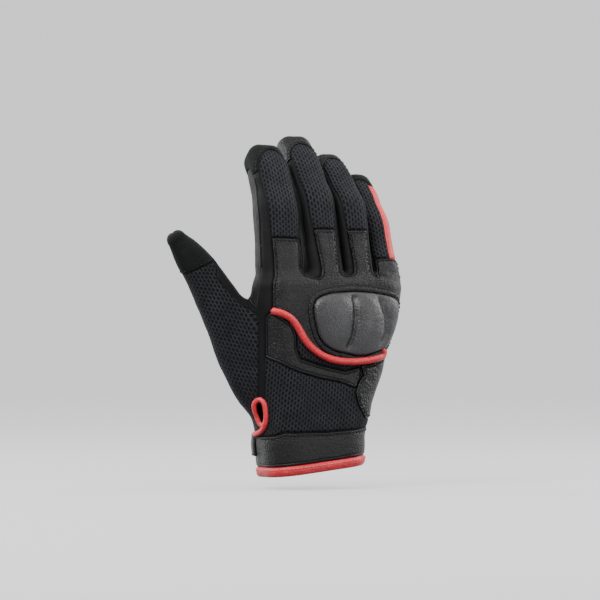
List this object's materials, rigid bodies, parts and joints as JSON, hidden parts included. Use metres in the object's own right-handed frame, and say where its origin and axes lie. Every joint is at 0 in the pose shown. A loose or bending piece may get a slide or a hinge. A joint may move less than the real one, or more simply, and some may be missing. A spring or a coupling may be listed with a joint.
{
  "type": "riding glove",
  "caption": "Short right-hand riding glove with a domed knuckle guard, mesh back, leather palm, bending fingers and thumb, and a wrist strap that peels open.",
  "frame": {"origin": "centre of the wrist opening at the hem", "axes": "+Z from the wrist towards the fingertips, -Y the back of the hand, +Y the palm, -X the thumb side"},
  "size_m": [0.1525, 0.083, 0.2203],
  "materials": {
    "black_leather": "satin, lightly creased",
    "air_mesh": "perforated air mesh",
    "stretch_fabric": "smooth stretch knit",
    "touch_suede": "greenish black suede",
    "palm_suede": "matt palm leather",
    "guard_skin": "satin moulded skin",
    "red_leather": "coral red, matt",
    "grip_leather": "crinkled grip leather",
    "foam": "matt foam",
    "hook_loop": "hook and loop tape",
    "elastic": "ribbed elastic",
    "lining": "brushed lining"
  },
  "bodies": {
    "hand": {"palm_leather": "palm_suede", "back_mesh_panel": "air_mesh", "knuckle_leather_panel": "black_leather", "back_leather_band": "black_leather", "knuckle_guard_shell": "guard_skin", "knuckle_guard_foam": "foam", "knuckle_guard_rim": "black_leather", "knuckle_piping": "red_leather", "side_grip_patch": "grip_leather", "palm_heel_pad": "palm_suede", "palm_grip_patch": "grip_leather", "thumb_gusset_mesh": "air_mesh", "cuff_band": "black_leather", "cuff_hem_piping": "red_leather", "slit_piping": "red_leather", "wrist_elastic": "elastic", "loop_patch": "hook_loop", "back_lining": "lining"},
    "strap": {"wrist_strap": "black_leather", "strap_piping": "red_leather", "hook_patch": "hook_loop"},
    "index_base": {"index_knuckle_tab": "black_leather", "index_lower_mesh": "air_mesh", "index_base_palm": "palm_suede", "index_base_fourchettes": "stretch_fabric"},
    "index_tip": {"index_tip_cap": "touch_suede", "index_back_mesh": "air_mesh", "index_tip_palm": "palm_suede", "index_tip_fourchettes": "stretch_fabric"},
    "middle_base": {"middle_knuckle_tab": "black_leather", "middle_lower_mesh": "air_mesh", "middle_base_palm": "palm_suede", "middle_base_fourchettes": "stretch_fabric"},
    "middle_tip": {"middle_tip_cap": "black_leather", "middle_back_mesh": "air_mesh", "middle_tip_palm": "palm_suede", "middle_tip_fourchettes": "stretch_fabric"},
    "ring_base": {"ring_knuckle_tab": "black_leather", "ring_lower_mesh": "air_mesh", "ring_base_palm": "palm_suede", "ring_base_fourchettes": "stretch_fabric"},
    "ring_tip": {"ring_tip_cap": "black_leather", "ring_back_mesh": "air_mesh", "ring_tip_palm": "palm_suede", "ring_tip_fourchettes": "stretch_fabric"},
    "little_base": {"little_knuckle_tab": "black_leather", "little_lower_mesh": "air_mesh", "little_base_palm": "palm_suede", "little_base_fourchettes": "stretch_fabric"},
    "little_tip": {"little_tip_cap": "touch_suede", "little_back_mesh": "air_mesh", "little_tip_palm": "palm_suede", "little_red_panel": "red_leather", "little_tip_fourchette": "stretch_fabric"},
    "thumb_base": {"thumb_back_mesh": "air_mesh", "thumb_base_palm": "palm_suede", "thumb_side_wall": "stretch_fabric"},
    "thumb_tip": {"thumb_tip_cap": "touch_suede", "thumb_tip_palm": "palm_suede"}
  },
  "joints": [
    {"name": "index_base_bend", "type": "hinge", "parent": "hand", "child": "index_base", "pos_m": [-0.02415, 0.00239, 0.13487], "axis": [-0.9995, 0, 0.0314], "range_deg": [-12, 35], "stiffness_Nm_per_rad": 0.08},
    {"name": "index_mid_bend", "type": "hinge", "parent": "index_base", "child": "index_tip", "pos_m": [-0.0231, 0.00829, 0.16834], "axis": [-0.9995, 0, 0.0314], "range_deg": [-15, 50], "stiffness_Nm_per_rad": 0.05},
    {"name": "middle_base_bend", "type": "hinge", "parent": "hand", "child": "middle_base", "pos_m": [0.0044, 0.0012, 0.13469], "axis": [-1, 0, 0], "range_deg": [-12, 35], "stiffness_Nm_per_rad": 0.08},
    {"name": "middle_mid_bend", "type": "hinge", "parent": "middle_base", "child": "middle_tip", "pos_m": [0.0044, 0.01223, 0.17314], "axis": [-1, 0, 0], "range_deg": [-15, 50], "stiffness_Nm_per_rad": 0.05},
    {"name": "ring_base_bend", "type": "hinge", "parent": "hand", "child": "ring_base", "pos_m": [0.0294, 0.00214, 0.13476], "axis": [-1, 0, 0], "range_deg": [-12, 35], "stiffness_Nm_per_rad": 0.08},
    {"name": "ring_mid_bend", "type": "hinge", "parent": "ring_base", "child": "ring_tip", "pos_m": [0.0294, 0.01085, 0.16969], "axis": [-1, 0, 0], "range_deg": [-15, 50], "stiffness_Nm_per_rad": 0.05},
    {"name": "little_base_bend", "type": "hinge", "parent": "hand", "child": "little_base", "pos_m": [0.0512, 0.00645, 0.13231], "axis": [-1, 0, 0], "range_deg": [-12, 35], "stiffness_Nm_per_rad": 0.08},
    {"name": "little_mid_bend", "type": "hinge", "parent": "little_base", "child": "little_tip", "pos_m": [0.0512, 0.01866, 0.15971], "axis": [-1, 0, 0], "range_deg": [-15, 50], "stiffness_Nm_per_rad": 0.05},
    {"name": "thumb_base_bend", "type": "hinge", "parent": "hand", "child": "thumb_base", "pos_m": [-0.0492, 0.016, 0.0988], "axis": [-0.7656, 0.357, -0.5352], "range_deg": [-10, 30], "stiffness_Nm_per_rad": 0.08},
    {"name": "thumb_tip_bend", "type": "hinge", "parent": "thumb_base", "child": "thumb_tip", "pos_m": [-0.0653, 0.0215, 0.1255], "axis": [-0.7656, 0.357, -0.5352], "range_deg": [-12, 45], "stiffness_Nm_per_rad": 0.05},
    {"name": "strap_peel", "type": "hinge", "parent": "hand", "child": "strap", "pos_m": [-0.0391, 0.002, 0.016], "axis": [0, 0, 1], "range_deg": [0, 110]}
  ]
}
